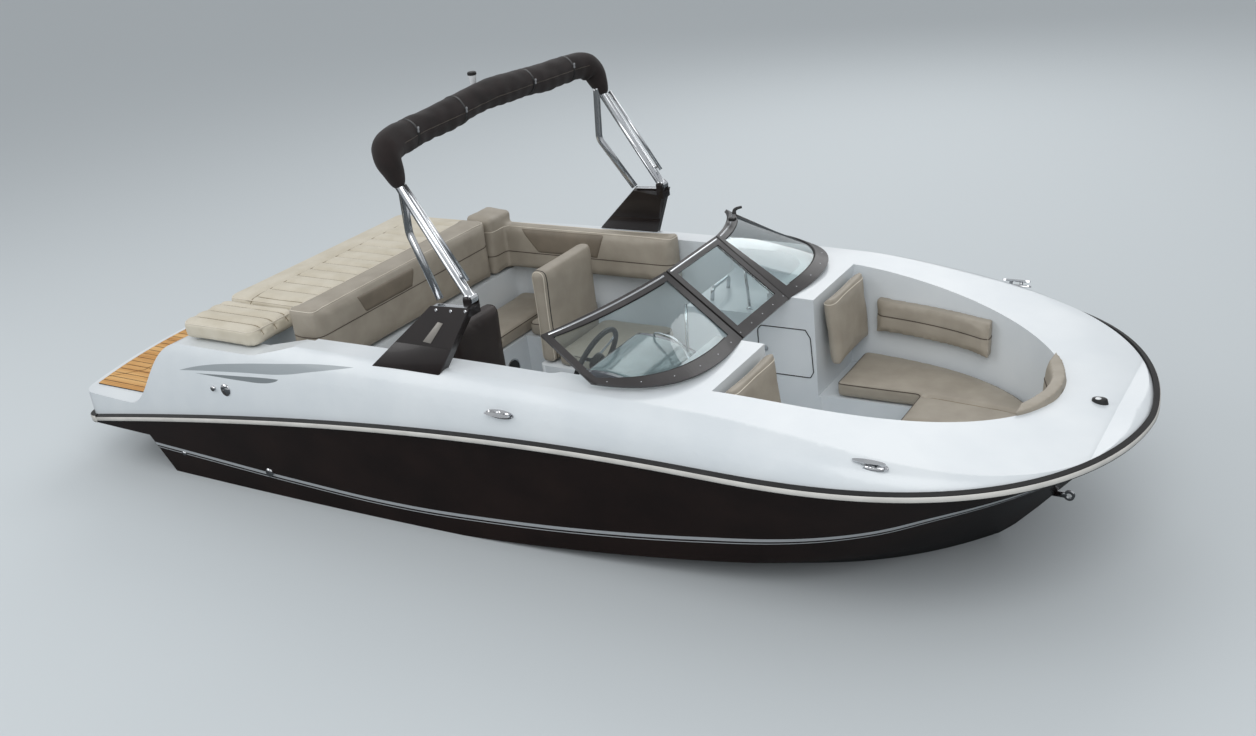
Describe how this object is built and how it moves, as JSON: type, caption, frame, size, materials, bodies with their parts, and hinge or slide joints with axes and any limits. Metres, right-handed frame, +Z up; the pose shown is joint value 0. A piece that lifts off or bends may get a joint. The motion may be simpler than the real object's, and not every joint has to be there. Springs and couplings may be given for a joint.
{
  "type": "open-bow stern-drive speedboat",
  "caption": "Open-bow runabout with raked windscreen, folding arch tower, sun pad, upholstered cockpit and bow seats, swim platform and steerable stern drive.",
  "frame": {"origin": "on the centreline at the waterline, 3.1 m forward of the swim platform's aft corners", "axes": "+X forward to the bow, +Y to port, +Z up"},
  "size_m": [6.368, 2.4958, 3.007],
  "materials": {
    "hull_gelcoat": "gloss",
    "deck_gelcoat": "gloss",
    "black_vinyl": "satin",
    "wood_decking": "satin",
    "beige_vinyl": "satin",
    "greige_vinyl": "satin",
    "dark_vinyl": "satin",
    "moulded_white": "satin",
    "engine_paint": "satin",
    "dash_plastic": "gloss",
    "black_plastic": "satin",
    "black_aluminium": "satin",
    "tinted_glass": "clear",
    "tower_aluminium": "satin",
    "canvas": "matte",
    "drive_paint": "satin",
    "propeller_metal": "satin",
    "bright_steel": "polished",
    "light_plastic": "gloss"
  },
  "bodies": {
    "boat": {"hull": "hull_gelcoat", "deck": "deck_gelcoat", "rub_rail": "black_vinyl", "platform_pads": "wood_decking", "engine_block": "engine_paint", "sunpad_filler": "beige_vinyl", "aft_backrest": "greige_vinyl", "seat_bases": "moulded_white", "bench_cushion": "greige_vinyl", "lounge_cushion": "greige_vinyl", "port_backrest": "greige_vinyl", "companion_cushion": "greige_vinyl", "companion_back": "greige_vinyl", "helm_pedestal": "tower_aluminium", "helm_dash": "dash_plastic", "steering_column": "black_plastic", "throttle": "black_plastic", "bow_cushions": "greige_vinyl", "bow_backrests": "greige_vinyl", "bow_bolsters": "greige_vinyl", "screen_frame_port": "black_aluminium", "screen_glass_port": "tinted_glass", "screen_frame_starboard": "black_aluminium", "screen_glass_starboard": "tinted_glass", "screen_stays": "bright_steel", "tower_bases": "black_plastic", "transom_plate": "drive_paint", "cleats": "bright_steel", "bow_light": "black_plastic", "bow_eye": "bright_steel", "side_fittings": "bright_steel", "grab_handle": "bright_steel"},
    "hatch": {"engine_hatch": "moulded_white", "sunpad_cushion": "beige_vinyl"},
    "helm_seat": {"helm_cushion": "dark_vinyl", "helm_back": "dark_vinyl"},
    "wheel": {"steering_wheel": "black_plastic"},
    "tower": {"tower_frame": "tower_aluminium", "tower_light": "light_plastic", "top_cover": "canvas"},
    "screen_door": {"screen_door_frame": "black_aluminium", "screen_door_glass": "tinted_glass"},
    "steering": {"steering_ring": "drive_paint"},
    "drive": {"drive_leg": "drive_paint"},
    "propeller": {"propeller": "propeller_metal"}
  },
  "joints": [
    {"name": "hatch_hinge", "type": "hinge", "parent": "boat", "child": "hatch", "pos_m": [-2.108, 0, 0.964], "axis": [0, -1, 0], "range_deg": [0, 55]},
    {"name": "helm_seat_swivel", "type": "hinge", "parent": "boat", "child": "helm_seat", "pos_m": [-0.1, -0.56, 0.56], "axis": [0, 0, 1], "range_deg": [-180, 180]},
    {"name": "steering_wheel_turn", "type": "hinge", "parent": "boat", "child": "wheel", "pos_m": [0.46, -0.56, 0.935], "axis": [0.9063, 0, -0.4226], "range_deg": [-540, 540]},
    {"name": "tower_fold", "type": "hinge", "parent": "boat", "child": "tower", "pos_m": [0.047, 0, 1.388], "axis": [0, 1, 0], "range_deg": [0, 105]},
    {"name": "screen_door_hinge", "type": "hinge", "parent": "boat", "child": "screen_door", "pos_m": [1.15614, 0.273, 1.00841], "axis": [0.7875, 0, -0.6164], "range_deg": [0, 88]},
    {"name": "steer_hinge", "type": "hinge", "parent": "boat", "child": "steering", "pos_m": [-2.66, 0, -0.02], "axis": [0, 0, 1], "range_deg": [-30, 30]},
    {"name": "trim_hinge", "type": "hinge", "parent": "steering", "child": "drive", "pos_m": [-2.66, 0, -0.02], "axis": [0, 1, 0], "range_deg": [-5, 40]},
    {"name": "propeller_shaft", "type": "hinge", "parent": "drive", "child": "propeller", "pos_m": [-3.18, 0, -0.55], "axis": [1, 0, 0], "continuous": true}
  ],
  "couplings": [
    {"joint": "steering_wheel_turn", "follows": "steer_hinge", "ratio": 18}
  ]
}
